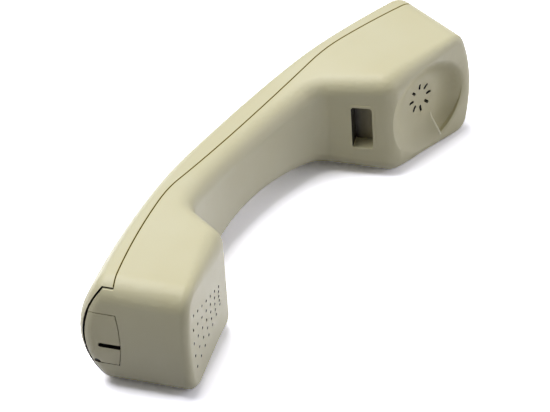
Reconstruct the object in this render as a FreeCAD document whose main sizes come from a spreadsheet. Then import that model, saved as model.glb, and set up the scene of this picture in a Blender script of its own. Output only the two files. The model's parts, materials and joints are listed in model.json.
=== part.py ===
import FreeCAD, Part
import math
import os
import re
import Sketcher
from FreeCAD import Placement, Rotation, Vector

# A telephone handset that lies on its side. X runs from the mouth end to the ear end,
# Y from the faces to the back, Z across the width, and the origin is under the middle.

SIZES = {
    # outer form
    "half_width": 23.75,
    "wall": 2.2,
    "back_height": 50.1,
    "back_middle": 3.7,
    "back_radius": 370.0,
    "crown_rise": 9.67,
    "crown_round": 5.0,
    "grip_height": 29.7,
    "grip_middle": 3.0,
    "grip_radius": 150.0,
    "waist_half_width": 16.7,
    "waist_middle": 9.0,
    "waist_radius": 210.0,
    "waist_blend": 80.0,
    "grip_round": 7.5,
    "face_round": 3.0,
    "inner_corner_round": 9.0,
    "grip_corner_round": 9.5,
    # mouth head
    "mouth_corner": 56.2,
    "mouth_corner_depth": 0.4,
    "mouth_face_length": 48.2,
    "mouth_tilt": 15.5,
    "mouth_wall_lean": 21.8,
    "mouth_end_lean": 14.2,
    "mouth_end_radius": 80.0,
    "mouth_end_round": 10.0,
    # ear head
    "ear_corner": 56.41,
    "ear_corner_depth": -4.33,
    "ear_face_length": 48.6,
    "ear_tilt": 10.5,
    "ear_wall_lean": 21.2,
    "ear_end_lean": 20.0,
    "ear_end_radius": 55.0,
    "ear_end_round": 7.5,
    "end_face_round": 3.5,
    "end_back_round": 7.0,
    # seam between the shells
    "seam_height": 37.2,
    "seam_middle": 3.0,
    "seam_radius": 312.0,
    "seam_gap": 0.4,
    "end_seam_gap": 0.8,
    "lip_reach_mouth": 99.0,
    "lip_reach_ear": 101.0,
    "lip_height": 2.5,
    "lip_thickness": 1.0,
    "clearance": 0.2,
    # ear dish
    "dish_place": 21.7,
    "dish_radius": 18.84,
    "dish_stretch": 1.15,
    "dish_depth": 6.8,
    "dish_backing": 2.2,
    "dish_shift": 2.4,
    "dish_flare": 1.1,
    "dish_back_spread": 1.2,
    "sound_slot_ring": 5.1,
    "sound_slot_length": 2.9,
    "sound_slot_width": 1.15,
    "sound_slot_count": 8,
    "pocket_drop": 2.2,
    "pocket_ridge_x": 6.8,
    "pocket_ridge_y": 10.0,
    "pocket_foot_x": 6.2,
    "pocket_end_x": 13.0,
    "pocket_end_y": 2.0,
    "pocket_rim": 0.6,
    # hanging slot in the ear head
    "hook_start": 8.17,
    "hook_length": 8.5,
    "hook_height": 19.5,
    "hook_depth": 7.0,
    "hook_round": 1.2,
    "hook_rim_width": 1.0,
    "hook_rim_height": 0.25,
    "pocket_wall": 1.5,
    # mouth holes
    "fan_apex": 52.1,
    "fan_first_radius": 45.6,
    "fan_step": 4.95,
    "fan_columns": 7,
    "fan_rays": 5,
    "fan_angle": 7.6,
    "mouth_hole": 1.2,
    # end cover
    "cover_half_height": 11.5,
    "cover_start": 28.8,
    "cover_bulge": 1.3,
    "cover_gap": 0.3,
    "cover_thickness": 2.9,
    "cover_slot_width": 1.9,
    "cover_slot_length": 6.6,
    "cover_slot_offset": 2.6,
    "cover_reach": 22.0,
    "notch_place": 37.5,
    "notch_width": 2.6,
    "notch_depth": 1.2,
    "cover_leg_place": 8.9,
    "cover_leg_length": 8.0,
    "cover_leg_width": 5.0,
    "cover_leg_thickness": 1.3,
    "seat_thickness": 1.8,
    "seat_margin": 1.5,
    # cord jack
    "jack_width": 11.0,
    "jack_height": 8.4,
    "jack_depth": 12.5,
    "jack_hole_width": 7.7,
    "jack_hole_height": 6.0,
    "jack_hole_depth": 9.5,
    "jack_place": 33.4,
    "jack_contacts": 4,
    "contact_pitch": 1.27,
    "contact_size": 0.5,
    "contact_reach": 2.4,
    # receiver
    "gasket_thickness": 1.5,
    "gasket_inner": 12.4,
    "gasket_width": 2.0,
    "receiver_place": 23.6,
    "receiver_depth": 9.2,
    "receiver_recess": 3.5,
    "coil_travel": 1.0,
    "receiver_radius": 14.6,
    "receiver_height": 9.5,
    "receiver_wall": 1.4,
    "felt_thickness": 0.4,
    "diaphragm_thickness": 0.3,
    "diaphragm_dome": 2.2,
    "diaphragm_dome_radius": 6.6,
    "coil_outer": 6.6,
    "coil_inner": 5.9,
    "coil_height": 3.6,
    "pole_radius": 5.5,
    "pole_thickness": 1.5,
    "magnet_radius": 5.2,
    "yoke_outer": 9.0,
    "yoke_inner": 7.2,
    "yoke_base": 1.0,
    "terminal_length": 12.0,
    "terminal_width": 6.0,
    "terminal_thickness": 1.2,
    "terminal_pitch": 6.0,
    "terminal_post": 1.6,
    "strap_width": 8.0,
    "strap_thickness": 1.6,
    "strap_near_place": 5.3,
    "strap_far_place": 41.9,
    "small_boss": 6.0,
    "small_screw_core": 1.8,
    "small_screw_head": 4.0,
    "small_screw_head_height": 1.5,
    "small_screw_length": 7.0,
    "weight_screw_length": 6.4,
    "fit_clearance": 0.05,
    # microphone
    "mic_place": 24.8,
    "boot_radius": 9.5,
    "boot_height": 9.0,
    "mic_radius": 4.85,
    "mic_height": 5.0,
    "mic_ring_wall": 1.3,
    "mic_ring_height": 6.0,
    "mic_board_radius": 6.5,
    "mic_board_thickness": 1.0,
    "port_radius": 3.5,
    "port_depth": 1.5,
    # balance weight in the grip
    "weight_length": 58.0,
    "weight_width": 15.0,
    "weight_thickness": 5.0,
    "weight_seat": 35.0,
    "weight_screw_reach": 22.0,
    # leads
    "lead_diameter": 1.2,
    "lead_lane": 11.0,
    # reach of the forms past the handset, and the arc that the back is swept through
    "reach": 130.0,
    "height_reach": 90.0,
    "low_reach": 60.0,
    "width_reach": 30.0,
    "back_turn": 52.0,
}

os.makedirs("parts", exist_ok=True)
doc = FreeCAD.newDocument("Handset")
sheet = doc.addObject("Spreadsheet::Sheet", "Sizes")
for row, (alias, value) in enumerate(SIZES.items(), start=1):
    sheet.set(f"A{row}", alias)
    sheet.set(f"B{row}", str(value))
    sheet.setAlias(f"B{row}", alias)
doc.recompute()


def size(alias):
    return float(getattr(sheet, alias))


def sine(alias):
    return math.sin(math.radians(size(alias)))


def cosine(alias):
    return math.cos(math.radians(size(alias)))


def tangent(alias):
    return math.tan(math.radians(size(alias)))


def formula(text):
    return re.sub(r"[a-z][a-z_]+[a-z]", lambda word: "Sizes." + word[0] if word[0] in SIZES else word[0], text)


def value(text):
    return float(sheet.evalExpression(formula(text)))


def add(kind, name, bound=None, **plain):
    item = doc.addObject(kind, name)
    for prop, setting in plain.items():
        setattr(item, prop, setting)
    for prop, text in (bound or {}).items():
        item.setExpression(prop, formula(text))
    return item


def at(x=0.0, y=0.0, z=0.0, axis=Vector(0, 0, 1), angle=0.0):
    return Placement(Vector(x, y, z), Rotation(axis, angle))


def outline(name, place, corners, arcs=None):
    """A closed sketch. Corners are pairs of formulas; an arc has a radius and turns left."""
    sketch = doc.addObject("Sketcher::SketchObject", name)
    sketch.Placement = place
    spots = [Vector(value(x), value(y), 0) for x, y in corners]
    arcs = arcs or {}
    starts = []
    for index, start in enumerate(spots):
        end = spots[(index + 1) % len(spots)]
        if index in arcs:
            radius = value(arcs[index])
            chord = end - start
            rise = math.sqrt(max(radius ** 2 - (chord.Length / 2) ** 2, 0))
            left = Vector(-chord.y, chord.x, 0).normalize()
            centre = (start + end) / 2 + left * rise
            first = math.atan2(start.y - centre.y, start.x - centre.x)
            last = math.atan2(end.y - centre.y, end.x - centre.x)
            circle = Part.Circle(centre, Vector(0, 0, 1), radius)
            sketch.addGeometry(Part.ArcOfCircle(circle, first, last))
        else:
            sketch.addGeometry(Part.LineSegment(start, end))
        starts.append(start)
    for index, (x, y) in enumerate(corners):
        before = (index - 1) % len(corners)
        sketch.addConstraint(Sketcher.Constraint("Coincident", before, 2, index, 1))
        for kind, text, spot in (("DistanceX", x, starts[index].x), ("DistanceY", y, starts[index].y)):
            number = sketch.addConstraint(Sketcher.Constraint(kind, -1, 1, index, 1, spot))
            sketch.setExpression(f"Constraints[{number}]", formula(text))
    for index, text in arcs.items():
        number = sketch.addConstraint(Sketcher.Constraint("Radius", index, value(text)))
        sketch.setExpression(f"Constraints[{number}]", formula(text))
    return sketch


def extrude(name, sketch, direction, length, bound=None):
    rules = {"LengthFwd": length}
    rules.update(bound or {})
    return add("Part::Extrusion", name, rules, Base=sketch, DirMode="Custom", Dir=direction, Solid=True)


def cut(name, base, tool):
    return add("Part::Cut", name, Base=base, Tool=tool, Refine=False)


def common(name, *pieces):
    return add("Part::MultiCommon", name, Shapes=list(pieces), Refine=False)


def fuse(name, *pieces):
    return add("Part::MultiFuse", name, Shapes=list(pieces), Refine=False)


def rounded(name, base, choose):
    """Rounds the edges for which choose(edge) gives a radius or a pair of radii."""
    doc.recompute()
    chosen = []
    for number, edge in enumerate(base.Shape.Edges, start=1):
        radius = choose(edge)
        if radius:
            first, last = radius if isinstance(radius, tuple) else (radius, radius)
            chosen.append((number, first, last))
    return add("Part::Fillet", name, Base=base, Edges=chosen)


def upright(edge):
    box = edge.BoundBox
    return box.ZLength > 20 and box.XLength < 0.1 and box.YLength < 0.1


# The plan form, seen on the handset's side: two leaning faces with the finger gap between the heads
def plan_form(tag, inset):
    mouth_line = f"mouth_corner_depth + mouth_corner * tan(mouth_tilt) + ({inset}) / cos(mouth_tilt)"
    ear_line = f"ear_corner_depth + ear_corner * tan(ear_tilt) + ({inset}) / cos(ear_tilt)"
    block_corners = [
        ("-reach", f"{mouth_line} - reach * tan(mouth_tilt)"),
        ("0", mouth_line),
        ("0", ear_line),
        ("reach", f"{ear_line} - reach * tan(ear_tilt)"),
        ("reach", "height_reach"),
        ("-reach", "height_reach"),
    ]
    block_sketch = outline(f"{tag}_plan", at(z=-size("width_reach")), block_corners)
    block = extrude(f"{tag}_block", block_sketch, Vector(0, 0, 1), "2 * width_reach")
    mouth_wall = f"-mouth_corner - ({inset}) / cos(mouth_wall_lean)"
    ear_wall = f"ear_corner + ({inset}) / cos(ear_wall_lean)"
    low = "-low_reach"
    top = "low_reach"
    wedge_corners = [
        (f"{mouth_wall} + ({low} - mouth_corner_depth) * tan(mouth_wall_lean)", low),
        (f"{ear_wall} - ({low} - ear_corner_depth) * tan(ear_wall_lean)", low),
        (f"{ear_wall} - ({top} - ear_corner_depth) * tan(ear_wall_lean)", top),
        (f"{mouth_wall} + ({top} - mouth_corner_depth) * tan(mouth_wall_lean)", top),
    ]
    wedge_sketch = outline(f"{tag}_gap_plan", at(z=-size("width_reach")), wedge_corners)
    wedge = extrude(f"{tag}_gap_wedge", wedge_sketch, Vector(0, 0, 1), "2 * width_reach")
    arch = add("Part::Cylinder", f"{tag}_gap_arch",
               {"Radius": f"grip_radius + ({inset})", "Height": "2 * width_reach",
                "Placement.Base.x": "grip_middle", "Placement.Base.y": "grip_height - grip_radius",
                "Placement.Base.z": "-width_reach"})
    gap = common(f"{tag}_gap_rough", wedge, arch)
    inner_round = value(f"grip_corner_round + ({inset})")
    gap = rounded(f"{tag}_gap", gap, lambda edge: inner_round if upright(edge) and edge.BoundBox.YMin > 0 else None)
    plan = cut(f"{tag}_plan_rough", block, gap)
    corner_round = value(f"inner_corner_round - ({inset})")

    def corner(edge):
        box = edge.BoundBox
        near = abs(abs(box.XMin) - size("ear_corner")) < 8 and abs(box.YMin) < 6
        return corner_round if upright(edge) and near else None

    return rounded(f"{tag}_plan_form", plan, corner)


# The width form: straight heads that narrow to the waist of the grip
def width_form(tag, inset):
    slab = add("Part::Box", f"{tag}_slab",
               {"Length": "2 * reach", "Width": "low_reach + height_reach",
                "Height": f"2 * (half_width - ({inset}))", "Placement.Base.x": "-reach",
                "Placement.Base.y": "-low_reach", "Placement.Base.z": f"-(half_width - ({inset}))"})
    narrowed = slab
    for side, sign in (("low", "-"), ("high", "")):
        waist = add("Part::Cylinder", f"{tag}_waist_{side}",
                    {"Radius": f"waist_radius + ({inset})", "Height": "low_reach + height_reach",
                     "Placement.Base.x": "waist_middle", "Placement.Base.y": "-low_reach",
                     "Placement.Base.z": f"{sign}(waist_half_width + waist_radius)"})
        waist.Placement.Rotation = Rotation(Vector(1, 0, 0), -90)
        narrowed = cut(f"{tag}_narrowed_{side}", narrowed, waist)
    blend = value(f"waist_blend - ({inset})")
    limit = size("reach") - 20

    def shoulder(edge):
        box = edge.BoundBox
        return blend if box.YLength > size("low_reach") and abs(box.XMin) < limit and box.XLength < 0.1 else None

    return rounded(f"{tag}_width_form", narrowed, shoulder)


# The crown: the arched back, swept about a far axis across the width
def crown_form(tag, inset):
    radius = f"((half_width ^ 2 + crown_rise ^ 2) / (2 * crown_rise) - ({inset}))"
    spread = f"(half_width - ({inset}) + 1.5)"
    edge = f"back_radius - ({inset}) - {radius} + sqrt({radius} ^ 2 - {spread} ^ 2)"
    inner = "back_radius - back_height - low_reach"
    half_turn = size("back_turn") / 2
    place = Placement(Vector(size("back_middle"), size("back_height") - size("back_radius"), 0),
                      Rotation(Vector(0, 0, 1), 90 - half_turn) * Rotation(Vector(1, 0, 0), 90))
    corners = [(inner, f"-{spread}"), (edge, f"-{spread}"), (edge, spread), (inner, spread)]
    section = outline(f"{tag}_crown_section", place, corners, {1: radius})
    return add("Part::Revolution", f"{tag}_crown",
               {"Angle": "back_turn", "Base.x": "back_middle", "Base.y": "back_height - back_radius"},
               Source=section, Axis=Vector(0, 0, 1), Solid=True)


# An end: a slightly crowned wall that leans out towards the back
def end_form(tag, head, sign, inset):
    lean = f"{head}_end_lean"
    foot_x = f"({head}_corner + {head}_face_length * cos({head}_tilt))"
    foot_y = f"({head}_corner_depth - {head}_face_length * sin({head}_tilt))"
    radius = f"({head}_end_radius - ({inset}))"
    bulge = f"({radius} - sqrt({radius} ^ 2 - width_reach ^ 2))"
    wall_x = f"({foot_x} + (-low_reach - {foot_y}) * tan({lean}) - ({inset}) / cos({lean}) - {bulge})"
    place = Placement(Vector(0, -size("low_reach"), 0), Rotation(Vector(1, 0, 0), 90))
    if sign < 0:
        corners = [("2 * reach", "-width_reach"), ("2 * reach", "width_reach"),
                   (f"-{wall_x}", "width_reach"), (f"-{wall_x}", "-width_reach")]
    else:
        corners = [("-2 * reach", "width_reach"), ("-2 * reach", "-width_reach"),
                   (wall_x, "-width_reach"), (wall_x, "width_reach")]
    sketch = outline(f"{tag}_{head}_end_plan", place, corners, {2: radius})
    direction = Vector(sign * tangent(lean), 1, 0)
    return extrude(f"{tag}_{head}_end", sketch, direction, f"(low_reach + height_reach) / cos({lean})",
                   {"Dir.x": f"{sign} * tan({lean})"})


# The roundings of a form: large on the grip, small on the faces, more on the ends
def soft_edges(name, base, inset):
    doc.recompute()
    solid = base.Shape
    take = 0.9 * value(inset)
    mouth_start = size("mouth_corner") + 4.5
    ear_start = size("ear_corner") + 4.5
    mouth_run = size("mouth_face_length") * cosine("mouth_tilt") - 4.5
    ear_run = size("ear_face_length") * cosine("ear_tilt") - 4.5

    def front_round(point):
        share = max((-point.x - mouth_start) / mouth_run, (point.x - ear_start) / ear_run)
        share = min(max(share, 0.0), 1.0)
        return size("grip_round") + (size("face_round") - size("grip_round")) * share

    def choose(edge):
        if edge.Length < 0.05:
            return None
        middle = edge.valueAt((edge.FirstParameter + edge.LastParameter) / 2)
        normals = []
        for face in solid.ancestorsOfType(edge, Part.Face)[:2]:
            normals.append(face.normalAt(*face.Surface.parameter(middle)))
        if len(normals) < 2 or middle.y > 55 or math.degrees(normals[0].getAngle(normals[1])) < 8:
            return None
        end = abs(middle.x) > 90 and any(abs(normal.x) > 0.85 for normal in normals)
        side = any(abs(normal.z) > 0.8 for normal in normals)
        front = any(normal.y < -0.3 and abs(normal.z) < 0.3 for normal in normals)
        if end and side:
            ear = middle.x > 0
            radii = (size("ear_end_round" if ear else "mouth_end_round"),) * 2
        elif end and front and middle.y < 0:
            radii = (size("end_face_round"),) * 2
        elif end:
            radii = (size("end_back_round"),) * 2
        elif any(normal.y > 0.25 for normal in normals):
            radii = (size("crown_round"),) * 2
        elif side:
            radii = (front_round(edge.firstVertex().Point), front_round(edge.lastVertex().Point))
        else:
            return None
        return tuple(max(radius - take, 0.6) for radius in radii)

    return rounded(name, base, choose)


outer_parts = [plan_form("outer", "0"), width_form("outer", "0"), crown_form("outer", "0"),
               end_form("outer", "mouth", -1, "0"), end_form("outer", "ear", 1, "0")]
outer = soft_edges("outer_form", common("outer_rough", *outer_parts), "0")


def hollow_form(tag, inset):
    parts = [plan_form(tag, inset), width_form(tag, inset),
             end_form(tag, "mouth", -1, inset), end_form(tag, "ear", 1, inset)]
    return soft_edges(f"{tag}_form", common(f"{tag}_rough", *parts), inset)


cavity = hollow_form("cavity", "wall")
lip_room = hollow_form("lip_room", "wall + clearance")
doc.recompute()


def box(name, x, y, z, low_x="0", low_y="0", low_z="0"):
    return add("Part::Box", name, {"Length": x, "Width": y, "Height": z, "Placement.Base.x": low_x,
                                   "Placement.Base.y": low_y, "Placement.Base.z": low_z})


def cylinder(name, radius, height, low_z="0", x="0", y="0"):
    return add("Part::Cylinder", name, {"Radius": radius, "Height": height, "Placement.Base.x": x,
                                        "Placement.Base.y": y, "Placement.Base.z": low_z})


def tube(name, radius, hole, height, low_z="0"):
    rim = cylinder(f"{name}_rim", radius, height, low_z)
    bore = cylinder(f"{name}_bore", hole, f"({height}) + 2", f"({low_z}) - 1")
    return cut(name, rim, bore)


def moved(name, source, place):
    """The same shape in the frame of a face, as a copy that follows its source."""
    return add("Part::Compound", name, Links=[source], Placement=place)


def upright_edges(radius):
    def choose(edge):
        box_of = edge.BoundBox
        return radius if box_of.XLength < 0.01 and box_of.YLength < 0.01 and box_of.ZLength > 0.5 else None
    return choose


# Frames of the faces: x runs along the face, z points out of the handset
def face_frame(x, y, angle, side):
    return Placement(Vector(x, y, 0), Rotation(Vector(0, 0, 1), angle) * Rotation(Vector(1, 0, 0), side))


mouth_foot = Vector(-size("mouth_corner") - size("mouth_face_length") * cosine("mouth_tilt"),
                    size("mouth_corner_depth") - size("mouth_face_length") * sine("mouth_tilt"), 0)
MOUTH = face_frame(mouth_foot.x, mouth_foot.y, size("mouth_tilt"), 90)
EAR = face_frame(size("ear_corner"), size("ear_corner_depth"), -size("ear_tilt"), 90)
HOOK = face_frame(size("ear_corner"), size("ear_corner_depth"), 90 + size("ear_wall_lean"), -90)
END = face_frame(mouth_foot.x, mouth_foot.y, 90 + size("mouth_end_lean"), -90)


# What lies inside the shells at a given inset, without its ends
def shell_inside(tag, inset):
    return common(f"{tag}_inside", width_form(tag, inset), crown_form(tag, inset))


def seam_disc(name, radius):
    return add("Part::Cylinder", name,
               {"Radius": radius, "Height": "2 * width_reach", "Placement.Base.x": "seam_middle",
                "Placement.Base.y": "seam_height - seam_radius", "Placement.Base.z": "-width_reach"})


back_inside = shell_inside("back", "wall")
end_inside = shell_inside("end", "wall + end_seam_gap")

# Front shell: everything below the seam and the end walls that run up under the back shell
below_seam = common("below_seam", outer, seam_disc("front_seam", "seam_radius - seam_gap / 2"))
end_walls = common("end_walls", outer, end_inside)
below_hollow = cut("below_hollow", below_seam, cavity)
ends_hollow = cut("ends_hollow", end_walls, cavity)

# Ear dish: an oval bowl whose floor is set towards the end of the head, with a soft flared rim
DISH_RINGS = [("-0.2", "dish_radius + dish_flare", "0"),
              ("0.5", "dish_radius - 0.3", "0"),
              ("dish_depth * 0.3", "dish_radius * 0.86", "dish_shift * 0.3"),
              ("dish_depth * 0.68", "dish_radius * 0.68", "dish_shift * 0.68"),
              ("dish_depth * 0.91", "dish_radius * 0.48", "dish_shift * 0.91"),
              ("dish_depth", "dish_radius * 0.26", "dish_shift")]
STRAP_DEPTH = "(receiver_depth + gasket_thickness + receiver_height)"


def oval(name, radius, grow, low="0", place="dish_place"):
    return add("Part::Ellipse", name, {"MajorRadius": f"({radius}) * dish_stretch + ({grow})",
                                       "MinorRadius": f"{radius} + ({grow})", "Placement.Base.x": place,
                                       "Placement.Base.z": low})


def bowl(name, grow, deeper):
    rings = [oval(f"{name}_ring_{index}", radius, grow, f"-({depth}) - ({deeper})", f"dish_place + {shift}")
             for index, (depth, radius, shift) in enumerate(DISH_RINGS)]
    return add("Part::Loft", name, Sections=rings, Solid=True, Ruled=False)


lowered = at(y=-size("pocket_drop"))
dish_hollow = bowl("dish_hollow", "0", "0")
dish_back = bowl("dish_back", "dish_back_spread", "dish_backing")
pocket_back = moved("pocket_back", dish_back, lowered)
seat = cut("receiver_seat",
           cylinder("receiver_seat_outer", "gasket_inner + gasket_width", "receiver_depth - 3", "-receiver_depth",
                    "receiver_place"),
           cylinder("receiver_seat_inner", "gasket_inner", "receiver_depth", "-receiver_depth - 1",
                    "receiver_place"))
strap_posts = []
strap_bores = []
for end in ("near", "far"):
    place = f"strap_{end}_place"
    strap_posts.append(cylinder(f"strap_post_{end}", "small_boss / 2", f"{STRAP_DEPTH} - 1", f"-{STRAP_DEPTH}", place))
    strap_bores.append(cylinder(f"strap_bore_{end}", "small_screw_core / 2 + fit_clearance",
                                "small_screw_length + 2", f"-{STRAP_DEPTH} - 1", place))
ear_added = moved("ear_added", fuse("ear_solids", dish_back, pocket_back, seat, *strap_posts), EAR)
sound_slots = []
slot_count = int(size("sound_slot_count"))
slot_half = (size("sound_slot_length") - size("sound_slot_width")) / 2
slot_middle = Vector(size("dish_place") + size("dish_shift"), 0, -size("dish_depth") - size("dish_backing") - 0.5)
for number in range(slot_count):
    turn = Rotation(Vector(0, 0, 1), 360.0 * number / slot_count)
    slot_pieces = []
    for name, distance in (("in", -slot_half), ("out", slot_half)):
        tip = add("Part::Cylinder", f"sound_slot_{number}_{name}",
                  {"Radius": "sound_slot_width / 2", "Height": "dish_backing + 1.5"})
        tip.Placement = Placement(slot_middle + turn.multVec(Vector(size("sound_slot_ring") + distance, 0, 0)), turn)
        slot_pieces.append(tip)
    straight = add("Part::Box", f"sound_slot_{number}_middle",
                   {"Length": "sound_slot_length - sound_slot_width", "Width": "sound_slot_width",
                    "Height": "dish_backing + 1.5"})
    corner = Vector(size("sound_slot_ring") - slot_half, -size("sound_slot_width") / 2, 0)
    straight.Placement = Placement(slot_middle + turn.multVec(corner), turn)
    sound_slots.append(fuse(f"sound_slot_{number}", straight, *slot_pieces))
# Pocket in the low side of the dish: the bowl again, set lower, from a crisp ridge to its far rim
pocket_corners = [("pocket_foot_x", "-width_reach"), ("width_reach", "-width_reach"), ("width_reach", "0"),
                  ("pocket_end_x", "-pocket_end_y"), ("pocket_ridge_x", "-pocket_ridge_y")]
pocket_plan = outline("pocket_plan", at(x=size("dish_place"), z=-2 * size("dish_depth")), pocket_corners)
pocket_block = extrude("pocket_block", pocket_plan, Vector(0, 0, 1), "3 * dish_depth")
pocket_limit = extrude("pocket_limit", oval("pocket_limit_oval", "dish_radius", "-pocket_rim", "-2 * dish_depth"),
                       Vector(0, 0, 1), "3 * dish_depth")
finger_pocket = common("finger_pocket", pocket_block, pocket_limit, moved("pocket_bowl", dish_hollow, lowered))
ear_removed = moved("ear_removed", fuse("ear_hollows", dish_hollow, finger_pocket, *strap_bores), EAR)
ear_slots = moved("ear_slots", add("Part::Compound", "sound_slots", Links=sound_slots), EAR)

# Hanging slot in the wall of the ear head, with its own pocket behind it
hook_y = "hook_height / 2"
hook_rim = box("hook_rim", "hook_length + 2 * hook_rim_width", "hook_height + 2 * hook_rim_width",
               "hook_rim_height + 1", "hook_start - hook_rim_width", f"-{hook_y} - hook_rim_width", "-1")
hook_rim = rounded("hook_rim_soft", hook_rim, upright_edges(size("hook_round") + size("hook_rim_width")))
hook_shell = box("hook_shell", "hook_length + 2 * pocket_wall", "hook_height + 2 * pocket_wall",
                 "hook_depth + pocket_wall - 0.5", "hook_start - pocket_wall", f"-{hook_y} - pocket_wall",
                 "-hook_depth - pocket_wall")
hook_outer = moved("hook_outer", hook_rim, HOOK)
hook_added = moved("hook_added", hook_shell, HOOK)
hook_hollow = rounded("hook_hollow", box("hook_hollow_box", "hook_length", "hook_height", "hook_depth + 3",
                                         "hook_start", f"-{hook_y}", "-hook_depth"),
                      upright_edges(size("hook_round")))
hook_removed = moved("hook_removed", hook_hollow, HOOK)

# Mouth holes: columns of rays that meet at a point past the face, and the microphone's collar
mouth_holes = []
rays = int(size("fan_rays"))
for column in range(int(size("fan_columns"))):
    radius = size("fan_first_radius") - column * size("fan_step")
    for ray in range(rays):
        angle = math.radians((ray - (rays - 1) / 2) * size("fan_angle"))
        hole = add("Part::Cylinder", f"mouth_hole_{column}_{ray}",
                   {"Radius": "mouth_hole / 2", "Height": "wall + 1.2"})
        hole.Placement = at(size("fan_apex") - radius * math.cos(angle), radius * math.sin(angle),
                            -size("wall") - 0.2)
        mouth_holes.append(hole)
mouth_removed = moved("mouth_removed", fuse("mouth_fan", *mouth_holes), MOUTH)
mic_collar = cut("mic_collar",
                 cylinder("mic_collar_outer", "boot_radius + clearance + mic_ring_wall", "mic_ring_height",
                          "-wall - mic_ring_height + 0.3", "mic_place"),
                 cylinder("mic_collar_inner", "boot_radius + clearance", "mic_ring_height + 2",
                          "-wall - mic_ring_height - 1", "mic_place"))
mic_collar_low = cut("mic_collar_low", mic_collar,
                     box("mic_collar_limit", "60", "60", "10", "-5", "-30", "-wall + 0.3"))
mouth_added = moved("mouth_added", mic_collar_low, MOUTH)

# End cover: its outline has a bulging front edge; it reaches up to the back shell
def cover_plan(name, grow, place):
    half = f"(cover_half_height + ({grow}))"
    radius = f"(({half} ^ 2 + cover_bulge ^ 2) / (2 * cover_bulge))"
    corners = [(f"cover_start - ({grow})", half), (f"cover_start - ({grow})", f"-{half}"),
               ("cover_start + cover_reach", f"-{half}"), ("cover_start + cover_reach", half)]
    return outline(name, place, corners, {0: radius})


def cover_solid(name, grow, low, high):
    plan = cover_plan(f"{name}_plan", grow, at(z=value(low)))
    return extrude(name, plan, Vector(0, 0, 1), f"({high}) - ({low})")


opening = moved("cover_opening", cover_solid("cover_opening_block", "cover_gap", "-cover_thickness - cover_gap", "8"),
                END)
seat_block = moved("cover_seat_block", cover_solid("cover_seat_solid", "cover_gap + seat_margin",
                                                   "-cover_thickness - cover_gap - seat_thickness", "-1.6"), END)
cover_seat = cut("cover_seat", common("cover_seat_rough", seat_block, end_inside), opening)
jack_low = "-cover_thickness - cover_gap - seat_thickness"
leg_slots = []
for side, sign in (("low", "-1"), ("high", "1")):
    leg_y = f"{sign} * (cover_leg_place) - cover_leg_thickness / 2 - cover_gap"
    leg_slots.append(box(f"leg_slot_{side}", "cover_leg_width + 2 * cover_gap", "cover_leg_thickness + 2 * cover_gap",
                         "seat_thickness + 2", "jack_place - cover_leg_width / 2 - cover_gap", leg_y,
                         f"{jack_low} - 1"))
jack_mouth = box("jack_mouth", "jack_hole_height", "jack_hole_width", "seat_thickness + 2",
                 "jack_place - jack_hole_height / 2", "-jack_hole_width / 2", f"{jack_low} - 1")
end_removed = moved("end_removed", fuse("end_slots", jack_mouth, *leg_slots), END)
sleeve = cut("jack_sleeve",
             box("jack_sleeve_outer", "jack_height + 2 * pocket_wall", "jack_width + 2 * pocket_wall",
                 "jack_depth * 0.55", "jack_place - jack_height / 2 - pocket_wall", "-jack_width / 2 - pocket_wall",
                 f"{jack_low} - jack_depth * 0.55 + 0.3"),
             box("jack_sleeve_inner", "jack_height + 2 * clearance", "jack_width + 2 * clearance", "jack_depth",
                 "jack_place - jack_height / 2 - clearance", "-jack_width / 2 - clearance",
                 f"{jack_low} - jack_depth"))
sleeve_placed = common("jack_sleeve_placed", moved("jack_sleeve_at_end", sleeve, END), end_inside)

# Seats of the balance weight in the grip
weight_posts = []
weight_bores = []
for side, sign in (("low", "-"), ("high", "")):
    for kind, radius, low, high, group in (("post", "small_boss / 2", "grip_height + 0.6", "weight_seat",
                                            weight_posts),
                                           ("bore", "small_screw_core / 2", "weight_seat - 3.6",
                                            "weight_seat + 1", weight_bores)):
        post = add("Part::Cylinder", f"weight_{kind}_{side}",
                   {"Radius": radius, "Height": f"({high}) - ({low})",
                    "Placement.Base.x": f"grip_middle + {sign}(weight_screw_reach)", "Placement.Base.y": low})
        post.Placement.Rotation = Rotation(Vector(1, 0, 0), -90)
        group.append(post)

inner_added = common("inner_added", fuse("inner_solids", ear_added, hook_added, mouth_added, cover_seat,
                                          sleeve_placed, *weight_posts), outer)
front_full = fuse("front_full", cut("below_open", below_hollow, opening), cut("ends_open", ends_hollow, opening),
                  inner_added, hook_outer)
front_shell = cut("front_shell_hollow", front_full,
                  fuse("front_hollows", ear_removed, hook_removed, end_removed, *weight_bores))
front_shell = cut("front_shell_holed", front_shell,
                  add("Part::Compound", "front_holes", Links=[ear_slots, mouth_removed]))

# Back shell: a thin crowned skin with a lip along each side that steps inside the front shell
above_seam = cut("above_seam", outer, seam_disc("back_seam", "seam_radius + seam_gap / 2"))
back_skin = cut("back_skin", above_seam, back_inside)
lip_inner = shell_inside("lip_inner", "wall + clearance + lip_thickness")
lip_high = cut("lip_high", common("lip_high_rough", shell_inside("lip_high_outer", "wall - 0.1"),
                                  seam_disc("lip_top", "seam_radius + 1.6")),
               seam_disc("lip_break_high", "seam_radius + seam_gap / 2 + 0.1"))
lip_low = cut("lip_low", common("lip_low_rough", lip_room, crown_form("lip_low", "wall + clearance"),
                                seam_disc("lip_break_low", "seam_radius + seam_gap / 2 + 0.2")),
              seam_disc("lip_foot", "seam_radius - lip_height"))
lip_span = box("lip_span", "lip_reach_mouth + lip_reach_ear", "low_reach + height_reach", "2 * width_reach",
               "-lip_reach_mouth", "-low_reach", "-width_reach")
lip = common("lip", cut("lip_hollow", fuse("lip_solid", lip_high, lip_low), lip_inner), lip_span)
back_shell = fuse("back_shell_whole", back_skin, lip)

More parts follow.
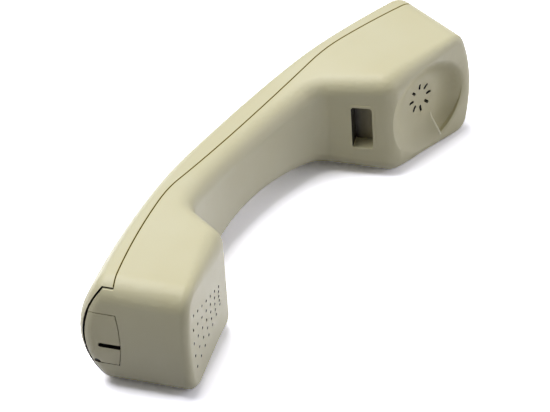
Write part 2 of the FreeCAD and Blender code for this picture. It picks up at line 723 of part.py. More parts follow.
# End cover with its cord slot, pry notch and two legs
cover_body = common("cover_body", outer, shell_inside("cover", "wall + end_seam_gap + cover_gap"),
                    moved("cover_block_placed", cover_solid("cover_block", "0", "-cover_thickness", "8"), END))
cord_slot = fuse("cord_slot",
                 box("cord_slot_straight", "cover_slot_length + 2", "cover_slot_width", "cover_thickness + 9",
                     "cover_start - 2", "cover_slot_offset - cover_slot_width / 2", "-cover_thickness - 1"),
                 cylinder("cord_slot_end", "cover_slot_width / 2", "cover_thickness + 9", "-cover_thickness - 1",
                          "cover_start + cover_slot_length", "cover_slot_offset"))
notch = cylinder("pry_notch", "notch_width / 2", "8 + notch_depth", "-notch_depth", "notch_place",
                 "cover_half_height - 0.2")
cover_cut = cut("cover_cut", cover_body, moved("cover_hollows", fuse("cover_hollow_solids", cord_slot, notch), END))
legs = []
for side, sign in (("low", "-1"), ("high", "1")):
    legs.append(box(f"cover_leg_{side}", "cover_leg_width", "cover_leg_thickness", "cover_leg_length + 0.4",
                    "jack_place - cover_leg_width / 2", f"{sign} * cover_leg_place - cover_leg_thickness / 2",
                    "-cover_thickness - cover_leg_length"))
end_cover = fuse("end_cover_whole", cover_cut, moved("cover_legs", add("Part::Compound", "legs", Links=legs), END))

# Jack for the cord, behind the cover
jack_hollow = box("jack_hollow", "jack_hole_height", "jack_hole_width", "jack_hole_depth + 1",
                  "jack_place - jack_hole_height / 2", "-jack_hole_width / 2", f"{jack_low} - jack_hole_depth")
jack_block = box("jack_block", "jack_height", "jack_width", "jack_depth", "jack_place - jack_height / 2",
                 "-jack_width / 2", f"{jack_low} - jack_depth")
jack_body = cut("jack_body_whole", jack_block, jack_hollow)
contacts = []
for number in range(int(size("jack_contacts"))):
    contact_y = f"({number} - (jack_contacts - 1) / 2) * contact_pitch - contact_size / 2"
    floor_x = "jack_place - jack_hole_height / 2"
    contacts.append(fuse(f"jack_contact_{number}",
                         box(f"contact_rail_{number}", "contact_size", "contact_size", "jack_hole_depth - 1",
                             floor_x, contact_y, f"{jack_low} - jack_hole_depth"),
                         box(f"contact_finger_{number}", "contact_reach", "contact_size", "contact_size",
                             floor_x, contact_y, f"{jack_low} - jack_hole_depth * 0.55")))
jack_contacts = add("Part::Compound", "jack_contacts_whole", Links=contacts)

# Receiver, a stack behind the dish; depths are measured from its seat
FRAME_FRONT = "gasket_thickness"
FRAME_BACK = "(gasket_thickness + receiver_height)"
DIAPHRAGM = "(gasket_thickness + receiver_recess)"
YOKE_RIM = f"({DIAPHRAGM} + diaphragm_thickness + coil_travel)"
receiver_gasket = tube("receiver_gasket_whole", "gasket_inner + gasket_width", "gasket_inner", "gasket_thickness",
                       "-gasket_thickness")
frame_block = cylinder("frame_block", "receiver_radius", "receiver_height", f"-{FRAME_BACK}")
frame_hollows = [
    cylinder("frame_front", "receiver_radius - receiver_wall", "receiver_recess + diaphragm_thickness + 1",
             f"-{DIAPHRAGM} - diaphragm_thickness"),
    cylinder("frame_step", "receiver_radius - 2 * receiver_wall", "coil_travel + 1", f"-{YOKE_RIM}"),
    cylinder("frame_bore", "yoke_outer + fit_clearance", "receiver_height + 2", f"-{FRAME_BACK} - 1"),
]
receiver_frame = cut("receiver_frame_whole", frame_block, fuse("frame_hollows", *frame_hollows))
receiver_felt = cylinder("receiver_felt_whole", "receiver_radius - receiver_wall - fit_clearance", "felt_thickness",
                         f"-{FRAME_FRONT} - felt_thickness")
dome_sphere = "((diaphragm_dome_radius ^ 2 + diaphragm_dome ^ 2) / (2 * diaphragm_dome))"
dome_centre = f"-{DIAPHRAGM} + diaphragm_dome - {dome_sphere}"
dome_outer = add("Part::Sphere", "dome_outer", {"Radius": dome_sphere, "Placement.Base.z": dome_centre})
dome_inner = add("Part::Sphere", "dome_inner",
                 {"Radius": f"{dome_sphere} - diaphragm_thickness", "Placement.Base.z": dome_centre})
dome = common("dome", cut("dome_shell", dome_outer, dome_inner),
              cylinder("dome_limit", "diaphragm_dome_radius + 1", "diaphragm_dome + diaphragm_thickness + 1",
                       f"-{DIAPHRAGM} - diaphragm_thickness"))
surround = tube("surround", "receiver_radius - receiver_wall - fit_clearance", "diaphragm_dome_radius - 0.15",
                "diaphragm_thickness", f"-{DIAPHRAGM} - diaphragm_thickness")
receiver_diaphragm = fuse("receiver_diaphragm_whole", surround, dome)
receiver_voice_coil = tube("receiver_voice_coil_whole", "coil_outer", "coil_inner", "coil_height",
                           f"-{DIAPHRAGM} - diaphragm_thickness - coil_height")
receiver_pole_plate = cylinder("receiver_pole_plate_whole", "pole_radius", "pole_thickness",
                               f"-{YOKE_RIM} - pole_thickness")
magnet_text = f"({FRAME_BACK} - yoke_base - {YOKE_RIM} - pole_thickness)"
receiver_magnet = cylinder("receiver_magnet_whole", "magnet_radius", magnet_text, f"-{FRAME_BACK} + yoke_base")
receiver_yoke = cut("receiver_yoke_whole",
                    cylinder("yoke_block", "yoke_outer", f"{FRAME_BACK} - {YOKE_RIM}", f"-{FRAME_BACK}"),
                    cylinder("yoke_hollow", "yoke_inner", "receiver_height", f"-{FRAME_BACK} + yoke_base"))
terminal_y = "receiver_radius * 0.45"
terminal_plate = box("terminal_plate", "terminal_length", "terminal_width", "terminal_thickness",
                     "-terminal_length / 2", terminal_y, f"-{FRAME_BACK} - terminal_thickness")
terminal_posts = [cylinder(f"terminal_post_{number}", "terminal_post / 2", "terminal_thickness",
                           f"-{FRAME_BACK} - 2 * terminal_thickness + 0.2", f"{sign}terminal_pitch / 2",
                           f"{terminal_y} + terminal_width / 2") for number, sign in enumerate(("-", ""))]
receiver_terminal_board = fuse("receiver_terminal_board_whole", terminal_plate, *terminal_posts)
strap_from = "strap_near_place - receiver_place"
strap_to = "strap_far_place - receiver_place"
strap_bar = box("strap_bar", "strap_far_place - strap_near_place", "strap_width", "strap_thickness", strap_from,
                "-strap_width / 2", f"-{FRAME_BACK} - strap_thickness")
strap_ends = [cylinder(f"strap_end_{index}", "small_boss / 2 - 0.2", "strap_thickness",
                       f"-{FRAME_BACK} - strap_thickness", spot) for index, spot in enumerate((strap_from, strap_to))]
strap_holes = [cylinder(f"strap_hole_{index}", "small_screw_core / 2 + clearance", "strap_thickness + 2",
                        f"-{FRAME_BACK} - strap_thickness - 1", spot)
               for index, spot in enumerate((strap_from, strap_to))]
strap_bar_kept = cut("strap_bar_kept", strap_bar, fuse("strap_shoulders", *[
    cut(f"strap_shoulder_{index}",
        box(f"strap_corner_{index}", "small_boss", "2 * strap_width", "strap_thickness + 2", low, "-strap_width",
            f"-{FRAME_BACK} - strap_thickness - 1"),
        cylinder(f"strap_round_{index}", "small_boss / 2 - 0.2", "strap_thickness + 4",
                 f"-{FRAME_BACK} - strap_thickness - 2", spot))
    for index, (low, spot) in enumerate(((f"{strap_from} - small_boss + 1", strap_from),
                                         (f"{strap_to} - 1", strap_to)))]))
receiver_retainer = cut("receiver_retainer_whole", fuse("strap_solid", strap_bar_kept, *strap_ends),
                        fuse("strap_holes", *strap_holes))


def screw(name, length, place, x="0"):
    head = cylinder(f"{name}_head", "small_screw_head / 2", "small_screw_head_height", "0")
    head = rounded(f"{name}_head_soft", head,
                   lambda edge: size("small_screw_head_height") / 2 if edge.isClosed() and edge.BoundBox.ZMin > 0.5
                   else None)
    core = cylinder(f"{name}_core", "small_screw_core / 2", f"({length}) + 0.5", f"-({length})")
    drive = [box(f"{name}_drive_{way}", wide, deep, "small_screw_head_height", f"-({wide}) / 2", f"-({deep}) / 2",
                 "small_screw_head_height / 2")
             for way, wide, deep in (("x", "small_screw_head * 0.6", "0.6"), ("y", "0.6", "small_screw_head * 0.6"))]
    whole = cut(f"{name}_whole", fuse(f"{name}_solid", head, core), fuse(f"{name}_drive", *drive))
    return moved(name, whole, place)


SEAT = EAR * at(size("receiver_place"), 0, -size("receiver_depth"))
back_turned = Rotation(Vector(1, 0, 0), 180)
retainer_screws = []
for end in ("near", "far"):
    spot = Vector(size(f"strap_{end}_place"), 0, -value(STRAP_DEPTH) - size("strap_thickness"))
    retainer_screws.append(screw(f"retainer_screw_{end}", "small_screw_length", EAR * Placement(spot, back_turned)))

# Microphone stack behind the mouth holes
mic_felt = cylinder("mic_felt_whole", "boot_radius", "felt_thickness", "-felt_thickness")
capsule_back = "(felt_thickness + port_depth + mic_height)"
mic_boot = cut("mic_boot_whole", cylinder("boot_block", "boot_radius", "boot_height", "-felt_thickness - boot_height"),
               fuse("boot_hollows",
                    cylinder("boot_port", "port_radius", "port_depth + 2", "-felt_thickness - port_depth - 1"),
                    cylinder("boot_pocket", "mic_radius + fit_clearance", "mic_height", f"-{capsule_back}"),
                    cylinder("boot_recess", "mic_board_radius + clearance", "boot_height",
                             f"-{capsule_back} - boot_height")))
mic_capsule = cylinder("mic_capsule_whole", "mic_radius", "mic_height", f"-{capsule_back}")
mic_board = fuse("mic_board_whole",
                 cylinder("mic_board_disc", "mic_board_radius", "mic_board_thickness",
                          f"-{capsule_back} - mic_board_thickness"),
                 *[cylinder(f"mic_post_{index}", "terminal_post / 2", "1",
                            f"-{capsule_back} - mic_board_thickness - 0.8", spot)
                   for index, spot in enumerate(("-terminal_pitch / 2", "terminal_pitch / 2"))])
MIC = MOUTH * at(size("mic_place"), 0, -size("wall"))

# Balance weight in the grip, on two posts
weight_block = box("weight_block", "weight_length", "weight_thickness", "weight_width",
                   "grip_middle - weight_length / 2", "weight_seat", "-weight_width / 2")
weight_block = rounded("weight_soft", weight_block, lambda edge: 2.0 if edge.BoundBox.YLength > 1 else None)
weight_cuts = []
weight_screws = []
for side, sign in (("low", -1), ("high", 1)):
    spot = size("grip_middle") + sign * size("weight_screw_reach")
    turned = Rotation(Vector(1, 0, 0), -90)
    for kind, radius, low, long in (("hole", "small_screw_core / 2 + clearance", "weight_seat - 1", "2 * weight_thickness"),
                                    ("sink", "small_screw_head / 2 + clearance", "weight_seat + weight_thickness - 2",
                                     "4")):
        hole = add("Part::Cylinder", f"weight_{kind}_{side}",
                   {"Radius": radius, "Height": long, "Placement.Base.x": f"grip_middle + {sign} * weight_screw_reach",
                    "Placement.Base.y": low})
        hole.Placement.Rotation = turned
        weight_cuts.append(hole)
    seat_y = value("weight_seat + weight_thickness - 2")
    weight_screws.append(screw(f"weight_screw_{side}", "weight_screw_length", Placement(Vector(spot, seat_y, 0), turned)))
handle_weight = cut("handle_weight_whole", weight_block, fuse("weight_holes", *weight_cuts))


def leads(name, paths):
    wires = []
    for number, points in enumerate(paths):
        spine = add("Part::Polygon", f"{name}_path_{number}", Nodes=points)
        ring = add("Part::Circle", f"{name}_ring_{number}", {"Radius": "lead_diameter / 2"})
        ring.Placement = Placement(points[0], Rotation(Vector(0, 0, 1), points[1] - points[0]))
        doc.recompute()
        names = [f"Edge{index}" for index in range(1, len(points))]
        wires.append(add("Part::Sweep", f"{name}_wire_{number}", Sections=[ring], Spine=(spine, names), Solid=True,
                         Frenet=False, Transition="Round corner"))
    return add("Part::Compound", f"{name}_whole", Links=wires)


jack_end = value(f"{jack_low} - jack_depth")
terminal_top = value(f"-{FRAME_BACK} - 2 * terminal_thickness + 0.2")
receiver_paths = []
mic_paths = []
board_top = value(f"-{capsule_back} - mic_board_thickness - 0.8")
for sign in (-1, 1):
    post = SEAT.multVec(Vector(sign * size("terminal_pitch") / 2, value(f"{terminal_y} + terminal_width / 2"),
                               terminal_top))
    lane = size("lead_lane") + sign * size("lead_diameter") * 0.75
    goal = END.multVec(Vector(size("jack_place") + 1.5, sign * 1.2 - 2.5, jack_end))
    outward = END.Rotation.multVec(Vector(0, 0, -1))
    rise = SEAT.Rotation.multVec(Vector(0, 0, -1))
    receiver_paths.append([post, post + rise * (4.0 + sign), Vector(50 + 2 * sign, 35.5 + sign, lane),
                           Vector(-62, 33.5 + sign, lane), goal + outward * (6 + sign), goal])
    pin = MIC.multVec(Vector(sign * size("terminal_pitch") / 2, 0, board_top))
    back = END.multVec(Vector(size("jack_place") - 2.0, sign * 1.2 + 2.5, jack_end))
    away = MIC.Rotation.multVec(Vector(0, 0, -1))
    mic_paths.append([pin, pin + away * 4.0, back + outward * (4.0 + sign), back])
receiver_leads = leads("receiver_lead", receiver_paths)
mic_leads = leads("mic_lead", mic_paths)
doc.recompute()

# The origin lies under the middle of the outer form, on the side that the handset rests on
bounds = outer.Shape.optimalBoundingBox(False)
REST = Placement(Vector(-bounds.Center.x, -bounds.Center.y, size("half_width")), Rotation())
NODES = {
    "front_shell": (front_shell, REST),
    "back_shell": (back_shell, REST),
    "end_cover": (end_cover, REST),
    "jack_body": (jack_body, REST * END),
    "jack_contacts": (jack_contacts, REST * END),
    "receiver_gasket": (receiver_gasket, REST * SEAT),
    "receiver_felt": (receiver_felt, REST * SEAT),
    "receiver_frame": (receiver_frame, REST * SEAT),
    "receiver_diaphragm": (receiver_diaphragm, REST * SEAT),
    "receiver_voice_coil": (receiver_voice_coil, REST * SEAT),
    "receiver_pole_plate": (receiver_pole_plate, REST * SEAT),
    "receiver_magnet": (receiver_magnet, REST * SEAT),
    "receiver_yoke": (receiver_yoke, REST * SEAT),
    "receiver_terminal_board": (receiver_terminal_board, REST * SEAT),
    "receiver_retainer": (receiver_retainer, REST * SEAT),
    "retainer_screws": (add("Part::Compound", "retainer_screws_whole", Links=retainer_screws), REST),
    "receiver_leads": (receiver_leads, REST),
    "mic_felt": (mic_felt, REST * MIC),
    "mic_boot": (mic_boot, REST * MIC),
    "mic_capsule": (mic_capsule, REST * MIC),
    "mic_board": (mic_board, REST * MIC),
    "mic_leads": (mic_leads, REST),
    "handle_weight": (handle_weight, REST),
    "weight_screws": (add("Part::Compound", "weight_screws_whole", Links=weight_screws), REST),
}
finals = {}
for label, (whole, place) in NODES.items():
    node = add("Part::Compound", f"node_{label}", Links=[whole])
    node.Label = label
    node.Placement = place
    finals[label] = node
doc.recompute()

for item in doc.Objects:
    if "Invalid" in item.State or "Error" in item.State:
        raise RuntimeError(f"{item.Label} did not build")
for label, node in finals.items():
    shape = node.Shape
    if shape.isNull() or not shape.isValid():
        raise RuntimeError(f"{label} has no valid shape")
    shape.exportStep(f"parts/{label}.step")
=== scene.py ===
import json
import math
import bmesh
import bpy
from mathutils import Matrix, Vector
from mathutils.bvhtree import BVHTree


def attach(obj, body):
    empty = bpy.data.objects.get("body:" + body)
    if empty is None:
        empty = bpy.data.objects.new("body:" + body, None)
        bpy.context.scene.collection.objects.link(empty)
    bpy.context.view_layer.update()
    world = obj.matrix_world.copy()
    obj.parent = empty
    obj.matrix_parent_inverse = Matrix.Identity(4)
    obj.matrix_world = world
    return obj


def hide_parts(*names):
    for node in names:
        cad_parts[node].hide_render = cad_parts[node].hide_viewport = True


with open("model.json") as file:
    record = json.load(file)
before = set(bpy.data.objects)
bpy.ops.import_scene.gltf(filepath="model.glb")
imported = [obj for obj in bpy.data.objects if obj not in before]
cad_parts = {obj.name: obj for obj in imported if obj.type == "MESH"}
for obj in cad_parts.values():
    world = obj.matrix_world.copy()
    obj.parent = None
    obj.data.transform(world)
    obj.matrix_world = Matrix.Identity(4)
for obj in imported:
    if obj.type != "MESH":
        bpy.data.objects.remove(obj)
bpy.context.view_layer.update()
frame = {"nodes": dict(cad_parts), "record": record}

record = frame["record"]


# Colours are given as they read on a screen, and every finish is made of patterns fixed to its piece
def screen(red, green, blue):
    """Levels of 255 turned into the linear levels that Blender takes."""
    values = []
    for level in (red, green, blue):
        level /= 255
        values.append(level / 12.92 if level <= 0.04045 else ((level + 0.055) / 1.055) ** 2.4)
    return (*values, 1.0)


class Finish:
    """One material and short ways to add its nodes."""

    def __init__(self, name):
        self.material = bpy.data.materials.new(name)
        self.material.use_nodes = True
        self.tree = self.material.node_tree
        self.shader = self.tree.nodes["Principled BSDF"]
        self.place = self.tree.nodes.new("ShaderNodeTexCoord").outputs["Object"]

    def link(self, source, target):
        self.tree.links.new(source, target)

    def stretched(self, scale):
        mapping = self.tree.nodes.new("ShaderNodeMapping")
        mapping.inputs["Scale"].default_value = scale
        self.link(self.place, mapping.inputs["Vector"])
        return mapping.outputs["Vector"]

    def noise(self, scale, detail=3.0, where=None):
        node = self.tree.nodes.new("ShaderNodeTexNoise")
        node.inputs["Scale"].default_value = scale
        node.inputs["Detail"].default_value = detail
        self.link(where or self.place, node.inputs["Vector"])
        return node.outputs["Fac"]

    def cells(self, scale):
        node = self.tree.nodes.new("ShaderNodeTexVoronoi")
        node.inputs["Scale"].default_value = scale
        self.link(self.place, node.inputs["Vector"])
        return node.outputs["Distance"]

    def between(self, source, low, high, start=0.3, stop=0.7):
        """Two colours, or two plain levels, mixed by a pattern."""
        ramp = self.tree.nodes.new("ShaderNodeValToRGB")
        for element, place, colour in zip(ramp.color_ramp.elements, (start, stop), (low, high)):
            element.position = place
            element.color = colour if isinstance(colour, tuple) else (colour, colour, colour, 1.0)
        self.link(source, ramp.inputs["Fac"])
        return ramp.outputs["Color"]

    def relief(self, source, depth, strength, under=None):
        bump = self.tree.nodes.new("ShaderNodeBump")
        bump.inputs["Distance"].default_value = depth
        bump.inputs["Strength"].default_value = strength
        self.link(source, bump.inputs["Height"])
        if under is not None:
            self.link(under, bump.inputs["Normal"])
        return bump.outputs["Normal"]

    def dress(self, colour, roughness, normal=None, metallic=0.0):
        self.link(colour, self.shader.inputs["Base Color"])
        self.link(roughness, self.shader.inputs["Roughness"])
        if normal is not None:
            self.link(normal, self.shader.inputs["Normal"])
        self.shader.inputs["Metallic"].default_value = metallic
        return self.material


# Both shells get a band of painted shade, a little browner, along their seam, which is an arc seen from
# the side
SEAM_CENTRE = (-0.00002, -0.29350, 0.0)
SEAM_RADIUS = 0.312
SEAM_BAND = 0.00038
SEAM_HALF_LENGTH = 0.1079
SEAM_BROWN = screen(192, 178, 112)


def compared(finish, value, middle, reach):
    """1 where the value is within reach of the middle, else 0."""
    check = finish.tree.nodes.new("ShaderNodeMath")
    check.operation = "COMPARE"
    finish.link(value, check.inputs[0])
    check.inputs[1].default_value = middle
    check.inputs[2].default_value = reach
    return check.outputs["Value"]


def browner_at_seam(finish, colour):
    parts = finish.tree.nodes.new("ShaderNodeSeparateXYZ")
    finish.link(finish.place, parts.inputs["Vector"])
    flat = finish.tree.nodes.new("ShaderNodeCombineXYZ")
    finish.link(parts.outputs["X"], flat.inputs["X"])
    finish.link(parts.outputs["Y"], flat.inputs["Y"])
    away = finish.tree.nodes.new("ShaderNodeVectorMath")
    away.operation = "DISTANCE"
    away.inputs[1].default_value = SEAM_CENTRE
    finish.link(flat.outputs["Vector"], away.inputs[0])
    both = finish.tree.nodes.new("ShaderNodeMath")
    both.operation = "MULTIPLY"
    finish.link(compared(finish, away.outputs["Value"], SEAM_RADIUS, SEAM_BAND), both.inputs[0])
    finish.link(compared(finish, parts.outputs["X"], 0.0, SEAM_HALF_LENGTH), both.inputs[1])
    # Painted shade beside the seam, widening its dark line
    painted_seam_shade = finish.tree.nodes.new("ShaderNodeMixRGB")
    finish.link(both.outputs["Value"], painted_seam_shade.inputs["Fac"])
    finish.link(colour, painted_seam_shade.inputs["Color1"])
    painted_seam_shade.inputs["Color2"].default_value = SEAM_BROWN
    return painted_seam_shade.outputs["Color"]


# Moulded ivory plastic: a faint uneven yellowing, slight sink marks and a fine satin spark texture
def moulded_plastic(name, pale, aged, seamed=False):
    finish = Finish(name)
    colour = finish.between(finish.noise(16), pale, aged, start=0.35, stop=0.75)
    if seamed:
        colour = browner_at_seam(finish, colour)
    roughness = finish.between(finish.noise(420), 0.40, 0.50)
    sink_marks = finish.relief(finish.noise(26, detail=1.0), depth=0.0006, strength=0.10)
    grain = finish.noise(2600, detail=2.0)
    normal = finish.relief(grain, depth=0.00006, strength=0.30, under=sink_marks)
    finish.shader.inputs["Specular IOR Level"].default_value = 0.42
    finish.shader.inputs["Subsurface Weight"].default_value = 0.05
    finish.shader.inputs["Subsurface Radius"].default_value = (0.0016, 0.0012, 0.0007)
    return finish.dress(colour, roughness, normal)


def plain_plastic(name, dark, pale, rough=0.45):
    finish = Finish(name)
    colour = finish.between(finish.noise(180), dark, pale)
    roughness = finish.between(finish.noise(900, detail=2.0), rough - 0.06, rough + 0.08)
    grain = finish.noise(1800, detail=2.0)
    return finish.dress(colour, roughness, finish.relief(grain, depth=0.00004, strength=0.3))


def plated_metal(name, dark, pale, along=(900, 60, 900), rough=0.30):
    finish = Finish(name)
    streaks = finish.noise(1.0, detail=4.0, where=finish.stretched(along))
    colour = finish.between(streaks, dark, pale)
    roughness = finish.between(finish.noise(240), rough - 0.06, rough + 0.12)
    normal = finish.relief(streaks, depth=0.00003, strength=0.25)
    return finish.dress(colour, roughness, normal, metallic=1.0)


def wound_copper(name):
    finish = Finish(name)
    turns = finish.noise(1.0, detail=1.0, where=finish.stretched((300, 5200, 300)))
    colour = finish.between(turns, screen(120, 58, 28), screen(196, 112, 62))
    roughness = finish.between(turns, 0.28, 0.42)
    normal = finish.relief(turns, depth=0.0001, strength=0.5)
    return finish.dress(colour, roughness, normal, metallic=0.85)


def pressed_felt(name):
    finish = Finish(name)
    fibres = finish.noise(1.0, detail=6.0, where=finish.stretched((2400, 900, 1500)))
    colour = finish.between(fibres, screen(30, 30, 29), screen(78, 77, 73))
    roughness = finish.between(fibres, 0.85, 0.98)
    finish.shader.inputs["Sheen Weight"].default_value = 0.3
    return finish.dress(colour, roughness, finish.relief(fibres, depth=0.00015, strength=0.7))


def cell_foam(name):
    finish = Finish(name)
    pores = finish.cells(1600)
    colour = finish.between(pores, screen(24, 24, 25), screen(62, 62, 63), start=0.1, stop=0.6)
    roughness = finish.between(pores, 0.95, 0.80, start=0.1, stop=0.6)
    return finish.dress(colour, roughness, finish.relief(pores, depth=0.0002, strength=0.6))


def laminate_board(name):
    finish = Finish(name)
    weave = finish.noise(1.0, detail=2.0, where=finish.stretched((2600, 2600, 700)))
    colour = finish.between(weave, screen(120, 82, 42), screen(160, 116, 66))
    roughness = finish.between(weave, 0.35, 0.5)
    return finish.dress(colour, roughness, finish.relief(weave, depth=0.00004, strength=0.35))


def lead_sleeve(name, dark, pale):
    finish = Finish(name)
    colour = finish.between(finish.noise(320), dark, pale)
    roughness = finish.between(finish.noise(700, detail=2.0), 0.34, 0.46)
    grain = finish.noise(1500, detail=2.0)
    return finish.dress(colour, roughness, finish.relief(grain, depth=0.00005, strength=0.3))


shell_plastic = moulded_plastic("ivory_shell", screen(221, 216, 183), screen(214, 207, 168), seamed=True)
cover_plastic = moulded_plastic("ivory_cover", screen(218, 212, 178), screen(210, 203, 164))
# Paler ivory for the pocket ridge, a painted highlight
ridge_highlight_plastic = moulded_plastic("ivory_painted_highlight", screen(246, 242, 214), screen(240, 235, 204))
# Painted shade for faces in narrow gaps, holes and the pry notch, and a browner one inside the narrow seam
gap_shade = plain_plastic("gap_shade", screen(12, 9, 3), screen(18, 14, 6), rough=0.8)
seam_shade = plain_plastic("seam_shade", screen(92, 68, 2), screen(100, 74, 4), rough=0.8)
FINISHES = {
    "front_shell": shell_plastic,
    "back_shell": shell_plastic,
    "end_cover": cover_plastic,
    "jack_body": plain_plastic("jack_plastic", screen(34, 34, 36), screen(48, 48, 50)),
    "jack_contacts": plated_metal("gold_contact", screen(206, 160, 64), screen(240, 200, 110)),
    "receiver_gasket": cell_foam("gasket_foam"),
    "receiver_felt": pressed_felt("receiver_cloth"),
    "receiver_frame": plain_plastic("receiver_plastic", screen(28, 28, 30), screen(44, 44, 46), rough=0.5),
    "receiver_diaphragm": plain_plastic("diaphragm_film", screen(188, 190, 182), screen(208, 210, 202),
                                        rough=0.25),
    "receiver_voice_coil": wound_copper("coil_wire"),
    "receiver_pole_plate": plated_metal("pole_steel", screen(150, 150, 152), screen(188, 188, 190)),
    "receiver_magnet": plain_plastic("magnet_ferrite", screen(52, 52, 54), screen(72, 72, 74), rough=0.55),
    "receiver_yoke": plated_metal("yoke_steel", screen(158, 156, 148), screen(196, 194, 186)),
    "receiver_terminal_board": laminate_board("terminal_laminate"),
    "receiver_retainer": plated_metal("strap_steel", screen(150, 152, 156), screen(192, 194, 198),
                                      along=(70, 900, 900)),
    "retainer_screws": plated_metal("screw_zinc", screen(140, 142, 146), screen(190, 192, 196),
                                    along=(500, 500, 500)),
    "weight_screws": plated_metal("weight_screw_zinc", screen(140, 142, 146), screen(190, 192, 196),
                                  along=(500, 500, 500)),
    "receiver_leads": lead_sleeve("receiver_lead_red", screen(140, 26, 22), screen(164, 38, 32)),
    "mic_leads": lead_sleeve("mic_lead_green", screen(22, 88, 48), screen(34, 108, 60)),
    "mic_felt": pressed_felt("mic_cloth"),
    "mic_boot": plain_plastic("boot_rubber", screen(30, 30, 30), screen(42, 42, 42), rough=0.7),
    "mic_capsule": plated_metal("capsule_can", screen(178, 178, 180), screen(214, 214, 216),
                                along=(60, 60, 1400)),
    "mic_board": laminate_board("mic_laminate"),
    "handle_weight": plated_metal("weight_bar", screen(84, 84, 86), screen(118, 118, 120),
                                  along=(60, 900, 900), rough=0.5),
}


# Faces that look at a wall close by get painted shade: inside the seam, the cover's outline, slots and
# holes
MOULDED = ("front_shell", "back_shell", "end_cover")
SLIDE_AXIS = Vector(record["behaviour"]["joints"][0]["axis"])
NARROW_GAP = 0.0027
SEAM_GAP = 0.0006
RAY_START = 0.00002
FACING = 0.5


def node_mesh(node):
    mesh = bmesh.new()
    mesh.from_mesh(frame["nodes"][node].data)
    return mesh


def wall_tree(node):
    mesh = node_mesh(node)
    tree = BVHTree.FromBMesh(mesh)
    mesh.free()
    return tree


wall_trees = {node: wall_tree(node) for node in MOULDED}


def gap_width(node, face):
    """The distance to the wall that a face looks at, or None.

    The cover looks only at itself, and the faces under it don't look at it along its slide, because
    both show when it is pulled off.
    """
    start = face.calc_center_median() + face.normal * RAY_START
    along_slide = abs(face.normal.dot(SLIDE_AXIS)) > FACING
    widths = []
    for other, tree in wall_trees.items():
        if other != node and (node == "end_cover" or other == "end_cover" and along_slide):
            continue
        width = tree.ray_cast(start, face.normal, NARROW_GAP)[3]
        if width is not None:
            widths.append(width)
    return min(widths, default=None)


# The hanging slot's inside gets painted shade, darkest along its side towards the grip, with a plain lit
# floor
hook_slot = next(mount for mount in record["mounts"] if mount["name"] == "hook_slot")
SLOT_MIDDLE = Vector(hook_slot["pos_m"])
SLOT_OUTWARDS = Vector(hook_slot["axis"]).normalized()
SLOT_ACROSS = Vector((-SLOT_OUTWARDS.y, SLOT_OUTWARDS.x, 0))
SLOT_HALF_WIDTH = 0.0043
SLOT_HALF_HEIGHT = 0.0098
SLOT_RIM = 0.0005
SLOT_DEPTH = 0.0071


def slot_inside(name):
    finish = Finish(name)
    across = finish.tree.nodes.new("ShaderNodeVectorMath")
    across.operation = "DOT_PRODUCT"
    across.inputs[1].default_value = SLOT_ACROSS
    finish.link(finish.place, across.inputs[0])
    spread = finish.tree.nodes.new("ShaderNodeMapRange")
    middle = SLOT_MIDDLE.dot(SLOT_ACROSS)
    spread.inputs["From Min"].default_value = middle - SLOT_HALF_WIDTH
    spread.inputs["From Max"].default_value = middle + SLOT_HALF_WIDTH
    finish.link(across.outputs["Value"], spread.inputs["Value"])
    dark, pale = screen(34, 28, 12), screen(190, 182, 150)
    colour = finish.between(spread.outputs["Result"], dark, pale, start=0.10, stop=1.0)
    roughness = finish.between(finish.noise(420), 0.60, 0.75)
    return finish.dress(colour, roughness)


def in_slot(face):
    place = face.calc_center_median() - SLOT_MIDDLE
    deep = SLOT_RIM < -place.dot(SLOT_OUTWARDS) < SLOT_DEPTH
    beside = abs(place.dot(SLOT_ACROSS)) < SLOT_HALF_WIDTH and abs(place.z) < SLOT_HALF_HEIGHT
    return deep and beside and face.normal.z < FACING


# The small round pry notch at the low edge of the end cover, whose faces get the painted gap shade
NOTCH_FLOOR = Vector((-0.11367, 0.00540, 0.01235))
NOTCH_RADIUS = 0.00136
NOTCH_SHALLOW = 0.0004


def in_notch(face):
    place = face.calc_center_median() - NOTCH_FLOOR
    height = place.dot(SLIDE_AXIS)
    beside = (place - SLIDE_AXIS * height).length
    return beside < NOTCH_RADIUS and abs(height) < NOTCH_SHALLOW


# The moulded pieces are drawn as smooth skins over the CAD solids, sharp only at their real edges
PLAIN, GAP, SEAM, SLOT = range(4)
WELD_DISTANCE = 0.000004
SHARP_ANGLE = math.radians(28)
FLAT_FACE_WEIGHT = 60


def place_in_finishes(node, face):
    """The face's place in the list of its skin's finishes."""
    if in_slot(face):
        return SLOT
    if node == "end_cover" and in_notch(face):
        return GAP
    width = gap_width(node, face)
    if width is None:
        return PLAIN
    return GAP if width > SEAM_GAP else SEAM


def smooth_skin(node):
    mesh = node_mesh(node)
    bmesh.ops.remove_doubles(mesh, verts=mesh.verts, dist=WELD_DISTANCE)
    for face in mesh.faces:
        face.smooth = True
        face.material_index = place_in_finishes(node, face)
    for edge in mesh.edges:
        if len(edge.link_faces) == 2 and edge.calc_face_angle(0.0) > SHARP_ANGLE:
            edge.smooth = False
    skin = bpy.data.meshes.new(f"{node}_skin")
    mesh.to_mesh(skin)
    mesh.free()
    piece = bpy.data.objects.new(f"{node}_skin", skin)
    bpy.context.scene.collection.objects.link(piece)
    weighted = piece.modifiers.new("even_shading", "WEIGHTED_NORMAL")
    weighted.keep_sharp = True
    weighted.weight = FLAT_FACE_WEIGHT
    return piece


slot_shade = slot_inside("slot_shade")
BODY_OF = {node: body for body, nodes in record["behaviour"]["bodies"].items() for node in nodes}
for node, material in FINISHES.items():
    target = frame["nodes"][node]
    finishes = [material]
    if node in MOULDED:
        target = smooth_skin(node)
        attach(target, BODY_OF[node])
        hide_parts(node)
        finishes += [gap_shade, seam_shade, slot_shade]
    else:
        target.data.materials.clear()
    for finish in finishes:
        target.data.materials.append(finish)
